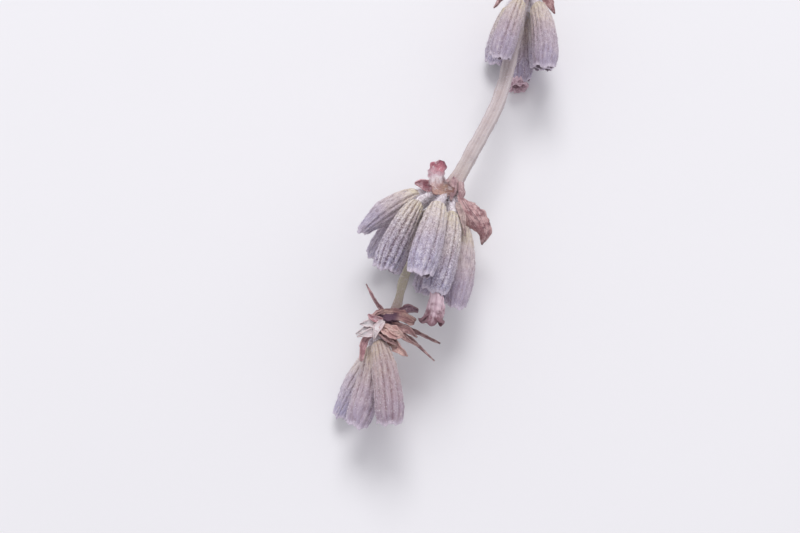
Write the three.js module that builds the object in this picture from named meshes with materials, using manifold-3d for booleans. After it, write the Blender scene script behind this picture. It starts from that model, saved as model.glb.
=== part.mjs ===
// Dried lavender: the end of a flowering stem with three whorls of ribbed calyces, lying on a flat surface.
// Millimetres, +Z up, +Y along the stem from its tip to its cut end, the surface at Z = 0.
import * as THREE from "three";
import { mergeVertices } from "three/addons/utils/BufferGeometryUtils.js";
import Module from "manifold-3d";

const wasm = await Module();
wasm.setup();

// Driving dimensions of a calyx, the ribbed tube that each flower leaves behind
const CALYX_BASE_RADIUS = 0.34;
const CALYX_MOUTH_RADIUS = 0.95;
const CALYX_FLARE = 0.56;
const CALYX_BOW = 0.22;
const CALYX_STATIONS = [0, 0.08, 0.2, 0.36, 0.56, 0.78, 1];
const CALYX_RIBS = 13;
const RIB_DEPTH = 0.16;
const RIBS_FULL_AT = 0.25;
const TEETH = 5;
const TOOTH_HEIGHT = 0.15;
const CLOSING_STARTS_AT = 0.55;

// The hollow mouth: depths below the rim, and the thickness of the wall there
const MOUTH_WALLS = [
  [0.02, 0.3],
  [0.65, 0.38],
  [1.3, 0.6],
];

// Driving dimensions of the stem and of the stalks that carry the calyces
const STEM_RADIUS = 0.53;
const NECK_RADIUS = 0.3;
const CUT_RADIUS = 0.6;
const NODE_SWELLING = 0.3;
const NODE_SPREAD = 1.2;
const NECK_SPAN = [-7, 3];
const CUT_SPAN = [18, 44];
const STEM_CORNER = 0.07;
const STEM_SIDES = 8;
const STEM_STEP = 1.7;
const STALK_RADIUS = 0.24;
const STALK_SIDES = 6;
const STALK_STEPS = 4;
const STALK_BEND = 0.45;
const SEAT_GAP = 0.06;

// Driving dimensions of bracts, shreds and withered corollas
const BLADE_THICKNESS = 0.6;
const BLADE_STEPS = 7;
const BLADE_SECTION = [[-1, 0], [-0.5, 1], [0, 1], [0.5, 1], [1, 0], [0.5, -1], [0, -1], [-0.5, -1]];
const SHRED_SIDES = 6;
const SHRED_STEPS = 6;
const SHRED_TIP = 0.06;
const COROLLA_SIDES = 10;
const COROLLA_STEPS = 7;
const COROLLA_TUBE = 0.33;
const COROLLA_LIP = 0.62;
const COROLLA_LOBE = 0.15;
const COROLLA_OPENS_AT = 0.35;

// The hollow end of a corolla: depths below its lip, and radii there
const COROLLA_HOLLOW = [
  [0.02, 0.38],
  [0.5, 0.23],
];

const FLOOR_CUTTER = new THREE.Vector3(40, 120, 10);

// Where the part's own origin lies in the layout below: under the middle of its bounding box
const ORIGIN = new THREE.Vector3(-1.36, 13.42, 0);

// Stem centreline in the layout frame, whose origin is on the surface under the middle whorl
const STEM_ROUTE = [
  [0.2, -10.4, 3.58],
  [0.1, -9.0, 3.66],
  [-0.3, -6.8, 3.78],
  [-0.15, -4.0, 3.88],
  [0, 0, 4.0],
  [0.23, 4.2, 4.08],
  [0.29, 7.8, 4.05],
  [-0.47, 12.4, 3.98],
  [-1.16, 15.3, 3.92],
  [-1.6, 17.3, 3.88],
  [-2.9, 23.5, 3.4],
  [-4.2, 30.0, 2.4],
  [-5.4, 36.5, 1.2],
  [-6.1, 40.5, 0.62],
  [-6.6, 44.0, 0.48],
];

// Each whorl: its node, the stem's direction there towards the tip, and its calyces.
// A place is [along, out, turn]: along is towards the tip, out is away from the stem,
// and turn goes round the stem in degrees, from +X over the top.
const WHORLS = {
  mid: {
    node: [0, 0, 4.0],
    axis: [-0.013, -0.999, -0.037],
    calyces: [
      { root: [1.9, 1.75, 5], mouth: [7.0, 3.7, 360], closing: 0.15 },
      { root: [1.7, 1.45, 51.5], mouth: [7.2, 3.02, 43] },
      { root: [1.8, 1.75, 93], mouth: [6.9, 4.2, 76], size: 1.12 },
      { root: [2.1, 2.0, 138], mouth: [7.4, 2.95, 117] },
      { root: [1.2, 1.9, 165], mouth: [5.0, 4.1, 175], closing: 0.45 },
      { root: [1.9, 1.8, 204], mouth: [5.7, 3.5, 212], closing: 0.1 },
      { root: [1.4, 1.42, 240], mouth: [5.6, 3.2, 249] },
      { root: [1.5, 1.38, 284], mouth: [6.2, 3.27, 287] },
      { root: [1.6, 1.53, 327], mouth: [6.5, 3.27, 328] },
    ],
  },
  tip: {
    node: [-0.1, -9.98, 3.6],
    axis: [-0.035, -0.998, -0.056],
    calyces: [
      { root: [1.8, 0.85, 76], mouth: [6.1, 3.5, 19] },
      { root: [2.1, 0.4, 255], mouth: [7.0, 1.35, 354] },
      { root: [1.9, 1.5, 272], mouth: [6.8, 2.25, 266], closing: 0.35 },
    ],
  },
  top: {
    node: [-1.6, 17.3, 3.88],
    axis: [0.23, -0.97, 0.02],
    calyces: [
      { root: [1.9, 1.4, 98], mouth: [6.6, 1.75, 118] },
      { root: [1.2, 1.2, 26], mouth: [6.0, 2.5, 10] },
      { root: [0.8, 1.3, 330], mouth: [5.0, 2.9, 326] },
      { root: [0.8, 1.3, 284], mouth: [5.3, 3.34, 286] },
      { root: [0.7, 1.35, 237], mouth: [4.4, 3.15, 248], closing: 0.1 },
    ],
  },
};

// Bracts: spine points, half widths along it, the way the hollow side faces, and how deep it is cupped
const BRACTS = {
  bract_mid_hood: {
    spine: [[0.11, -0.25, 5.16], [-0.65, -0.4, 5.3], [-1.08, 0.05, 5.5], [-1.18, 1.15, 5.85]],
    halfWidth: [0.4, 0.5, 0.66, 0.45],
    face: [-0.2, -0.5, 1],
    cup: 0.3,
  },
  bract_mid_left: {
    spine: [[-1.25, -0.28, 4.68], [-1.7, -0.5, 4.85], [-2.35, -0.85, 5.03]],
    halfWidth: [0.35, 0.5, 0.3],
    face: [0, -0.3, 1],
    cup: 0.2,
  },
  bract_mid_right: {
    spine: [[0.99, -0.37, 4.78], [1.7, -0.74, 4.8], [2.75, -1.2, 4.5], [3.4, -1.75, 4.0], [3.55, -2.45, 3.45]],
    halfWidth: [0.45, 0.8, 0.8, 0.5, 0.12],
    face: [-0.4, -0.4, -1],
    cup: 0.3,
  },
  bract_tip_back: {
    spine: [[-0.8, -10.4, 4.5], [-0.12, -9.95, 4.62], [0.8, -9.7, 4.5], [1.7, -9.6, 4.2]],
    halfWidth: [0.3, 0.4, 0.6, 0.5],
    face: [-0.2, -0.6, 1],
    cup: 0.3,
  },
  bract_tip_front: {
    spine: [[-0.05, -11.05, 4.8], [0.45, -11.3, 5.0], [1.0, -11.15, 4.95], [1.4, -10.8, 4.7]],
    halfWidth: [0.25, 0.35, 0.35, 0.25],
    face: [0, 0.5, 1],
    cup: 0.15,
  },
  bract_tip_orange: {
    spine: [[0.8, -11.35, 4.1], [1.45, -11.7, 4.5], [2.3, -12.05, 4.7]],
    halfWidth: [0.4, 0.45, 0.12],
    face: [-0.3, -0.3, 1],
    cup: 0.1,
  },
  bract_top_left: {
    spine: [[-2.45, 17.1, 4.1], [-2.85, 16.1, 4.5], [-3.0, 14.6, 4.6]],
    halfWidth: [0.35, 0.45, 0.15],
    face: [1, 0, 0.6],
    cup: 0.15,
  },
  bract_top_right: {
    spine: [[-0.95, 17.7, 4.75], [0.1, 17.1, 5.0], [1.3, 15.9, 4.8]],
    halfWidth: [0.35, 0.5, 0.15],
    face: [-0.3, -0.3, -1],
    cup: 0.2,
  },
};

// Narrow withered strips: spine points and the radius at the root
const SHREDS = {
  bracteole_mid: { spine: [[1.08, -1.14, 5.2], [1.74, -2.03, 5.43], [2.42, -2.98, 5.2]], radius: 0.24 },
  shred_tip_1: { spine: [[0.65, -10.55, 3.95], [1.6, -10.9, 4.3], [2.8, -11.0, 4.2]], radius: 0.22 },
  shred_tip_2: { spine: [[0.8, -10.1, 3.75], [2.1, -10.15, 3.85], [3.8, -10.05, 3.4]], radius: 0.22 },
  shred_tip_3: { spine: [[0.75, -10.5, 3.45], [2.3, -10.9, 3.8], [3.95, -11.3, 3.4]], radius: 0.22 },
  shred_tip_4: { spine: [[-0.55, -9.8, 3.85], [-1.4, -9.35, 3.85], [-2.5, -8.4, 3.4]], radius: 0.2 },
  shred_tip_5: { spine: [[-0.54, -11.3, 4.36], [-1.0, -11.55, 4.44], [-1.5, -12.0, 4.2]], radius: 0.24 },
  strap_tip: { spine: [[-0.6, -11.75, 4.3], [-0.7, -12.5, 4.4], [-0.35, -13.6, 4.5]], radius: 0.22 },
};

// Withered corollas, each rooted in the mouth of its calyx
const COROLLAS = {
  corolla_mid: [[2.03, -6.62, 5.78], [2.24, -7.4, 5.82], [2.55, -8.2, 5.7], [2.85, -9.3, 5.2]],
  corolla_top: [[0.16, 12.92, 0.88], [0.33, 12.4, 0.86], [0.6, 11.85, 0.84], [0.86, 11.35, 0.83]],
};

const COLOURS = {
  stem: 0xb9ada0,
  calyx: 0xa796a4,
  bract: 0x9c6f63,
  shred: 0xa5796c,
  corolla: 0xb59aa8,
};

function vector(xyz) {
  return new THREE.Vector3(...xyz);
}

function material(kind) {
  return new THREE.MeshStandardMaterial({ color: COLOURS[kind], roughness: 0.9, metalness: 0 });
}

// A closed surface through rings of equally many points, with a fan over each end
function loft(rings) {
  const sides = rings[0].length;
  const points = rings.flat();
  const index = [];
  for (let r = 0; r + 1 < rings.length; r++) {
    for (let k = 0; k < sides; k++) {
      const a = r * sides + k;
      const b = r * sides + ((k + 1) % sides);
      index.push(a, b, a + sides, b, b + sides, a + sides);
    }
  }
  const ends = [rings[0], rings[rings.length - 1]];
  const firsts = [0, (rings.length - 1) * sides];
  ends.forEach((ring, end) => {
    const middle = points.length;
    points.push(ring.reduce((sum, p) => sum.add(p), new THREE.Vector3()).divideScalar(sides));
    for (let k = 0; k < sides; k++) {
      const a = firsts[end] + k;
      const b = firsts[end] + ((k + 1) % sides);
      index.push(...(end === 0 ? [middle, b, a] : [middle, a, b]));
    }
  });
  const geometry = new THREE.BufferGeometry().setFromPoints(points);
  geometry.setIndex(signedVolume(points, index) < 0 ? index.reverse() : index);
  return geometry;
}

function signedVolume(points, index) {
  let sum = 0;
  for (let i = 0; i < index.length; i += 3) {
    const [a, b, c] = [points[index[i]], points[index[i + 1]], points[index[i + 2]]];
    sum += a.dot(b.clone().cross(c));
  }
  return sum / 6;
}

// Two directions across a tangent, the first as near to a given direction as it can be
function across(tangent, towards) {
  const first = towards.clone().addScaledVector(tangent, -towards.dot(tangent)).normalize();
  const second = tangent.clone().cross(first);
  return [first, second];
}

function ring(centre, [first, second], sides, radiusAt) {
  return Array.from({ length: sides }, (_, k) => {
    const angle = (2 * Math.PI * k) / sides;
    const radius = radiusAt(angle);
    return centre
      .clone()
      .addScaledVector(first, radius * Math.cos(angle))
      .addScaledVector(second, radius * Math.sin(angle));
  });
}

function solid(geometry) {
  const bare = geometry.clone();
  bare.deleteAttribute("normal");
  bare.deleteAttribute("uv");
  const merged = mergeVertices(bare, 1e-4);
  const vertProperties = merged.attributes.position.array;
  const triVerts = new Uint32Array(merged.index.array);
  return new wasm.Manifold(new wasm.Mesh({ numProp: 3, vertProperties, triVerts }));
}

function geometryOf(manifold) {
  const mesh = manifold.getMesh();
  const geometry = new THREE.BufferGeometry();
  geometry.setAttribute("position", new THREE.BufferAttribute(mesh.vertProperties, 3));
  geometry.setIndex(new THREE.BufferAttribute(mesh.triVerts, 1));
  return geometry;
}

// What would reach below the surface is pressed flat on it
function pressedFlat(geometry) {
  geometry.computeBoundingBox();
  if (geometry.boundingBox.min.z >= 0) return geometry;
  const floor = new THREE.BoxGeometry(...FLOOR_CUTTER.toArray());
  floor.translate(0, ORIGIN.y, -FLOOR_CUTTER.z / 2);
  return geometryOf(solid(geometry).subtract(solid(floor)));
}

function whorlFrame(whorl) {
  const axis = vector(whorl.axis).normalize();
  const side = new THREE.Vector3(0, 0, 1).cross(axis).normalize();
  if (side.x < 0) side.negate();
  const up = axis.clone().cross(side);
  if (up.z < 0) up.negate();
  return { node: vector(whorl.node), axis, side, up };
}

function placeIn(frame, [along, out, turn]) {
  const angle = THREE.MathUtils.degToRad(turn);
  return frame.node
    .clone()
    .addScaledVector(frame.axis, along)
    .addScaledVector(frame.side, out * Math.cos(angle))
    .addScaledVector(frame.up, out * Math.sin(angle));
}

// A calyx's centreline, bowed a little away from the stem, and its outward direction
function calyxLine(frame, calyx) {
  const root = placeIn(frame, calyx.root);
  const mouth = placeIn(frame, calyx.mouth);
  const middle = root.clone().add(mouth).multiplyScalar(0.5);
  const fromStem = middle.clone().sub(frame.node);
  fromStem.addScaledVector(frame.axis, -fromStem.dot(frame.axis)).normalize();
  const bend = middle.addScaledVector(fromStem, 2 * CALYX_BOW);
  return { curve: new THREE.QuadraticBezierCurve3(root, bend, mouth), outward: fromStem };
}

function calyxRadius(share, closing, size) {
  const widening = Math.sin((Math.PI / 2) * Math.pow(share, CALYX_FLARE));
  const radius = CALYX_BASE_RADIUS + (CALYX_MOUTH_RADIUS - CALYX_BASE_RADIUS) * widening;
  return size * radius * (1 - closing * THREE.MathUtils.smoothstep(share, CLOSING_STARTS_AT, 1));
}

// A ribbed tube with a toothed rim, hollow at its mouth
function calyxGeometry(frame, calyx, turn) {
  const { curve, outward } = calyxLine(frame, calyx);
  const closing = calyx.closing ?? 0;
  const size = calyx.size ?? 1;
  const sides = 2 * CALYX_RIBS;
  const ringAt = (share, radiusAt) => {
    const tangent = curve.getTangent(share).normalize();
    return ring(curve.getPoint(share), across(tangent, outward), sides, radiusAt);
  };
  const rimDirection = curve.getTangent(1).normalize();
  const toothed = (points) =>
    points.map((point, k) => {
      const angle = (2 * Math.PI * k) / sides;
      return point.addScaledVector(rimDirection, TOOTH_HEIGHT * Math.cos(TEETH * angle + turn));
    });
  const outside = CALYX_STATIONS.map((share) => {
    const relief = (RIB_DEPTH / 2) * THREE.MathUtils.smoothstep(share, 0, RIBS_FULL_AT);
    const radius = calyxRadius(share, closing, size) - RIB_DEPTH / 2;
    return ringAt(share, (angle) => radius + relief * Math.cos(CALYX_RIBS * angle));
  });
  const length = curve.getLength();
  const inside = MOUTH_WALLS.map(([depth, wall]) => {
    const radius = calyxRadius(1, closing, size) - wall;
    return ringAt(1 - depth / length, () => radius);
  });
  toothed(outside[outside.length - 1]);
  toothed(inside[0]);
  return loft([...outside, ...inside]);
}

// A stalk leaves the stem at its node and meets a calyx's base square on
function stalkGeometry(frame, calyx) {
  const { curve, outward } = calyxLine(frame, calyx);
  const start = curve.getTangent(0).normalize();
  const end = curve.getPoint(0).addScaledVector(start, -SEAT_GAP);
  const bend = end.clone().addScaledVector(start, -STALK_BEND * calyx.root[0]);
  const route = new THREE.QuadraticBezierCurve3(frame.node, bend, end);
  const rings = Array.from({ length: STALK_STEPS + 1 }, (_, k) => {
    const share = k / STALK_STEPS;
    const tangent = route.getTangent(share).normalize();
    return ring(route.getPoint(share), across(tangent, outward), STALK_SIDES, () => STALK_RADIUS);
  });
  return loft(rings);
}

// The stem is thin at its neck, thicker at its cut end, and swollen at each node
function stemRadius(point) {
  const upper = THREE.MathUtils.smoothstep(point.y, ...NECK_SPAN);
  const lower = THREE.MathUtils.smoothstep(point.y, ...CUT_SPAN);
  const bare = NECK_RADIUS + (STEM_RADIUS - NECK_RADIUS) * upper + (CUT_RADIUS - STEM_RADIUS) * lower;
  const swelling = Object.values(WHORLS).reduce((sum, whorl) => {
    const distance = point.distanceTo(vector(whorl.node)) / NODE_SPREAD;
    return sum + NODE_SWELLING * Math.exp(-distance * distance);
  }, 0);
  return bare * (1 + swelling);
}

function stemGeometry() {
  const route = new THREE.CatmullRomCurve3(STEM_ROUTE.map(vector));
  const steps = Math.round(route.getLength() / STEM_STEP);
  const up = new THREE.Vector3(0, 0, 1);
  const rings = Array.from({ length: steps + 1 }, (_, k) => {
    const point = route.getPointAt(k / steps);
    const radius = stemRadius(point);
    const corner = (angle) => radius * (1 - STEM_CORNER * Math.cos(4 * angle));
    return ring(point, across(route.getTangentAt(k / steps), up), STEM_SIDES, corner);
  });
  return loft(rings);
}

function stemWithStalks() {
  let joined = solid(stemGeometry());
  for (const whorl of Object.values(WHORLS)) {
    const frame = whorlFrame(whorl);
    for (const calyx of whorl.calyces) {
      joined = joined.add(solid(stalkGeometry(frame, calyx)));
    }
  }
  return geometryOf(joined);
}

// An arched blade of even thickness: its hollow side faces one way and its edges are thinner
function bladeGeometry({ spine, halfWidth, face, cup }) {
  const route = new THREE.CatmullRomCurve3(spine.map(vector));
  const half = BLADE_THICKNESS / 2;
  const rings = Array.from({ length: BLADE_STEPS + 1 }, (_, k) => {
    const share = k / BLADE_STEPS;
    const [normal, side] = across(route.getTangent(share).normalize(), vector(face));
    const place = share * (halfWidth.length - 1);
    const from = Math.min(Math.floor(place), halfWidth.length - 2);
    const width = THREE.MathUtils.lerp(halfWidth[from], halfWidth[from + 1], place - from);
    const centre = route.getPoint(share);
    return BLADE_SECTION.map(([u, level]) =>
      centre
        .clone()
        .addScaledVector(side, u * width)
        .addScaledVector(normal, cup * u * u + level * half));
  });
  return loft(rings);
}

function shredGeometry({ spine, radius }) {
  const route = new THREE.CatmullRomCurve3(spine.map(vector));
  const up = new THREE.Vector3(0, 0, 1);
  const rings = Array.from({ length: SHRED_STEPS + 1 }, (_, k) => {
    const share = k / SHRED_STEPS;
    const thickness = THREE.MathUtils.lerp(radius, SHRED_TIP, share * share);
    return ring(route.getPoint(share), across(route.getTangent(share), up), SHRED_SIDES, () => thickness);
  });
  return loft(rings);
}

// A tube that widens to a lobed, hollow end
function corollaGeometry(spine) {
  const route = new THREE.CatmullRomCurve3(spine.map(vector));
  const up = new THREE.Vector3(0, 0, 1);
  const lobed = (share, radius, lobe) =>
    ring(route.getPoint(share), across(route.getTangent(share), up), COROLLA_SIDES, (angle) =>
      radius * (1 + lobe * Math.cos((COROLLA_SIDES / 2) * angle)));
  const outside = Array.from({ length: COROLLA_STEPS + 1 }, (_, k) => {
    const share = k / COROLLA_STEPS;
    const opening = THREE.MathUtils.smoothstep(share, COROLLA_OPENS_AT, 1);
    return lobed(share, THREE.MathUtils.lerp(COROLLA_TUBE, COROLLA_LIP, opening), COROLLA_LOBE * opening);
  });
  const length = route.getLength();
  const inside = COROLLA_HOLLOW.map(([depth, radius]) => lobed(1 - depth / length, radius, 0));
  return loft([...outside, ...inside]);
}

const sprig = new THREE.Group();
sprig.position.set(-ORIGIN.x, -ORIGIN.y, 0);

function addPiece(name, kind, geometry) {
  const mesh = new THREE.Mesh(pressedFlat(geometry), material(kind));
  mesh.name = name;
  sprig.add(mesh);
}

addPiece("stem", "stem", stemWithStalks());

for (const [place, whorl] of Object.entries(WHORLS)) {
  const frame = whorlFrame(whorl);
  whorl.calyces.forEach((calyx, k) => {
    addPiece(`calyx_${place}_${k + 1}`, "calyx", calyxGeometry(frame, calyx, k));
  });
}

for (const [name, bract] of Object.entries(BRACTS)) {
  addPiece(name, "bract", bladeGeometry(bract));
}

for (const [name, shred] of Object.entries(SHREDS)) {
  addPiece(name, "shred", shredGeometry(shred));
}

for (const [name, spine] of Object.entries(COROLLAS)) {
  addPiece(name, "corolla", corollaGeometry(spine));
}

const lavender = new THREE.Group();
lavender.add(sprig);

export default lavender;
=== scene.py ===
import math

import bpy
import numpy as np
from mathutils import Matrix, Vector


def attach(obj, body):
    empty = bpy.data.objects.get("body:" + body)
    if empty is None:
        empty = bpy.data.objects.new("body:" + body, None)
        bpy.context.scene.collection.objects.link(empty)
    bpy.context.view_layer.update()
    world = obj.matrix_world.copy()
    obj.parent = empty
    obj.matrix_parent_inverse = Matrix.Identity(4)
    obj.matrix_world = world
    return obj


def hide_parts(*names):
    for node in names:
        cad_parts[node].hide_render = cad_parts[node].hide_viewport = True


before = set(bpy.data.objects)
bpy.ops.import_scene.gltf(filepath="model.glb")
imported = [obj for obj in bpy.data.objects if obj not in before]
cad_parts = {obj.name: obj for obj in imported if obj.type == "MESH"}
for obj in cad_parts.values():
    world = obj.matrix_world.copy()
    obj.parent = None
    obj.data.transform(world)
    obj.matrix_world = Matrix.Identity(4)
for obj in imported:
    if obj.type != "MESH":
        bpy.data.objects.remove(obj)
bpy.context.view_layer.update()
scene = bpy.context.scene

# Lengths are in millimetres, in a layout whose origin is on the surface under the middle whorl
MM = 0.001
LAYOUT_ORIGIN = np.array([-1.36, 13.42, 0.0])
UP = np.array([0.0, 0.0, 1.0])
FLOOR_CLEARANCE = 0.004
FLOOR_PRESS = 0.15

# The camera looks down on the sprig as the photograph does
CAMERA_AZIMUTH = 25.0
CAMERA_ELEVATION = 72.0
CAMERA_PLACE = np.array([7.543, -24.458, 65.158])
LENS = 42.43
SENSOR = 36.0

# The key light, a soft disk behind the sprig, and the light all round. Sizes here are in metres.
KEY_AZIMUTH = 205.0
KEY_ELEVATION = 52.0
KEY_DISTANCE = 0.5
KEY_SIZE = 0.28
KEY_POWER = 1.25
STUDIO_COLOUR = (0.97, 0.96, 1.0, 1.0)
STUDIO_STRENGTH = 0.66
FLOOR_SIZE = 4.0

# Where each kind of piece starts its random draws
STEM_SEED = 5
STEM_LUMP_SEED = 11
STALK_SEED = 6
CALYX_SEED = 100
CALYX_GRAIN_SEED = 1000
DOWN_SEED = 2000
TUBE_SEED = 600
LOBE_SEED = 620

# The range, in radians, of a random direction
ANY_ANGLE = (0, 6.28)

# Calyx
CALYX_BASE_RADIUS = 0.34
CALYX_MOUTH_RADIUS = 0.96
CALYX_FLARE = 0.52
CALYX_BOW = 0.22
CALYX_RIBS = 13
FURROW_DEPTH = 0.13
FURROW_SHARPNESS = 1.6
TEETH = 5
TOOTH_HEIGHT = 0.08
CALYX_WALL = 0.07
MOUTH_DEPTHS = (0.08, 0.2, 0.4, 0.7, 1.1, 1.6, 2.3, 3.2)
LIP_CURL = 0.26
RIM_CURL = 0.03
LIP_STARTS_AT = 0.8
CLOSING_STARTS_AT = 0.55
CALYX_COLUMNS = 104
CALYX_ROWS = 60
RIB_HEIGHTS = (0.5, 1.2)
RIB_SWAY = (0.3, 0.8)
OVALNESS = (0.02, 0.07)
DENT_DEPTH = (0.03, 0.09)
DENT_PLACE = (0.3, 0.7)
DENT_SPREAD = 0.22
FELT_STRETCH = 1.6

# Down on one calyx: how many of each, and their sizes
STARS = 1600
STAR_ARMS = 4
STAR_REACH = (0.045, 0.095)
STAR_THICKNESS = (0.008, 0.012)
STAR_RISE = (0.35, 1.1)
LONG_HAIRS = 360
GLANDS = 140
GLAND_RADIUS = (0.026, 0.045)

# Stem and stalks
STEM_RADIUS = 0.53
NECK_RADIUS = 0.3
CUT_RADIUS = 0.6
NODE_SWELLING = 0.3
NODE_SPREAD = 1.2
STEM_CORNER = 0.07
STEM_FURROWS = 16
STEM_FURROW_DEPTH = 0.012
STEM_GRAIN = 0.004
NECK_SPAN = (-7, 3)
CUT_SPAN = (18, 44)
CUT_RINGS = (0.93, 0.55, 0.3)
CUT_HOLLOW = 0.25
STEM_COLUMNS = 48
STEM_ROWS = 420
STEM_STARS = 4400
STALK_RADIUS = 0.23
STALK_GIRTH = 0.27
STALK_BEND = 0.45
STALK_ROWS = 22
STALK_COLUMNS = 14
STALK_HAIRS = 230
NECK_HAIRS = 620
NECK_REACH = (0.1, 1.9)

# Hairs: how far they lean along the piece, their disorder, lengths, radii and droop
LONG_HAIR = ((0.1, 1.2), 0.35, (0.08, 0.2), (0.006, 0.01), 0.35)
STALK_HAIR = ((-0.2, 1.4), 0.4, (0.15, 0.4), (0.01, 0.016), 0.5)
NECK_HAIR = ((-0.2, 1.2), 0.5, (0.3, 0.75), (0.012, 0.02), 0.6)

# Withered leaves and petals
LEAF_THICKNESS = 0.07
LEAF_ROWS = 48
LEAF_COLUMNS = 21
LEAF_VEINS = 7
VEIN_HEIGHT = 0.02
LEAF_SWAY = 0.25
LEAF_BASE = (0.0, 0.15)
LEAF_END = (0.84, 1.04)
EDGE_CURL = (0.1, 1.0)
ROOT_SINK = 0.25
PETAL_LOBES = 5
PETAL_LOBE_WIDTHS = (0.6, 0.85, 0.95, 0.8, 0.35)
PETAL_ROWS = 60
PETAL_COLUMNS = 60
PETAL_INNER_ROWS = 14
# Where the painted shade in the cup's hollow lies across it, and where it fades along it
CUP_HOLLOW_SHADE_SPAN = (-0.25, 0.05)
CUP_HOLLOW_SHADE_FADES_AT = (0.5, 0.72)

# Unevenness in layers: each has its height, the size of its lumps and its step of the seed
STEM_LUMPS = ((0.03, 1.7, 0), (0.012, 0.4, 1))
STALK_LUMPS = ((0.02, 0.5, 0),)
CALYX_LUMPS = ((0.018, 0.6, 0), (0.008, 0.22, 50))
LEAF_TEARS = ((0.16, 0.9, 70), (0.04, 0.3, 80))
LEAF_FOLDS = ((0.11, 1.0, 0), (0.04, 0.35, 50))
PETAL_LUMPS = ((0.045, 0.4, 0),)

STEM_ROUTE = [
    (0.2, -10.4, 3.58), (0.1, -9.0, 3.66), (-0.3, -6.8, 3.78), (-0.15, -4.0, 3.88), (0, 0, 4.0),
    (0.23, 4.2, 4.08), (0.29, 7.8, 4.05), (-0.47, 12.4, 3.98), (-1.16, 15.3, 3.92), (-1.6, 17.3, 3.88),
    (-2.9, 23.5, 3.4), (-4.2, 30.0, 2.4), (-5.4, 36.5, 1.2), (-6.1, 40.5, 0.62), (-6.6, 44.0, 0.48),
]

# Each whorl: its node, the stem's direction there towards the tip, and its calyces.
# A calyx is its root and mouth, its thickness, how far it closes, how strong its ribs are,
# how coarse its felt is, how warm its colour is, and how far its upper lip reaches.
# A place is (along, out, turn): towards the tip, away from the stem, and degrees round it
# from +X over the top.
WHORLS = {
    "mid": {"node": (0, 0, 4.0), "axis": (-0.013, -0.999, -0.037), "calyces": [
        ((1.9, 1.75, 5), (7.0, 3.7, 360), 1, 0.15, 0.25, 0.1, 0.4, 0.58),
        ((1.7, 1.45, 51.5), (7.2, 3.02, 43), 1, 0, 0.5, 0.8, 0.0, 0.58),
        ((1.8, 1.75, 93), (6.9, 4.2, 76), 1.12, 0, 0.6, 0.6, 0.05, 1.0),
        ((2.1, 2.0, 138), (7.4, 2.95, 117), 1, 0, 1.0, 0.95, 0.0, 0.58),
        ((1.2, 1.9, 165), (5.0, 4.1, 175), 1, 0.45, 0.35, 0.15, 0.1, 0.58),
        ((1.9, 1.8, 204), (5.7, 3.5, 212), 1, 0.1, 0.5, 0.2, 0.0, 0.58),
        ((1.4, 1.42, 240), (5.6, 3.2, 249), 1, 0, 0.7, 0.5, 0.2, 0.58),
        ((1.5, 1.38, 284), (6.2, 3.27, 287), 1, 0, 0.7, 0.5, 0.1, 0.58),
        ((1.6, 1.53, 327), (6.5, 3.27, 328), 1, 0, 0.7, 0.5, 0.2, 0.58),
    ]},
    "tip": {"node": (-0.1, -9.98, 3.6), "axis": (-0.035, -0.998, -0.056), "calyces": [
        ((1.8, 0.85, 76), (6.1, 3.5, 19), 1, 0, 0.6, 0.15, 0.9, 0.4),
        ((2.1, 0.4, 255), (7.0, 1.35, 354), 1, 0, 0.5, 0.1, 0.55, 0.58),
        ((1.9, 1.5, 272), (6.8, 2.25, 266), 1, 0.35, 0.4, 0.1, 0.0, 0.58),
    ]},
    "top": {"node": (-1.6, 17.3, 3.88), "axis": (0.23, -0.97, 0.02), "calyces": [
        ((1.9, 1.4, 98), (6.6, 1.75, 118), 1, 0, 0.4, 0.2, 0.5, 0.7),
        ((1.2, 1.2, 26), (6.0, 2.5, 10), 1, 0, 0.4, 0.2, 0.4, 0.7),
        ((0.8, 1.3, 330), (5.0, 2.9, 326), 1, 0, 0.5, 0.4, 0.1, 0.58),
        ((0.8, 1.3, 284), (5.3, 3.34, 286), 1, 0, 0.5, 0.4, 0.2, 0.58),
        ((0.7, 1.35, 237), (4.4, 3.15, 248), 1, 0.1, 0.5, 0.4, 0.0, 0.58),
    ]},
}


# Arithmetic on arrays of points

def unit(vectors):
    return vectors / np.linalg.norm(vectors, axis=-1, keepdims=True)


def smoothstep(value, low, high):
    share = np.clip((value - low) / (high - low), 0, 1)
    return share * share * (3 - 2 * share)


def across(tangents, towards):
    """Across each tangent: the direction nearest to the given one, and the one square to both."""
    towards = np.broadcast_to(towards, tangents.shape)
    first = unit(towards - (towards * tangents).sum(-1, keepdims=True) * tangents)
    return first, np.cross(tangents, first)


def ring_angles(count):
    return np.linspace(0, 2 * math.pi, count, endpoint=False)


def round_about(first, second, angles):
    """The direction at each angle round each row, from its first direction towards its second."""
    return np.cos(angles)[:, None] * first[:, None] + np.sin(angles)[:, None] * second[:, None]


def steps_of(points):
    """The distances between points that follow each other."""
    return np.linalg.norm(np.diff(points, axis=0), axis=1)


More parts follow.
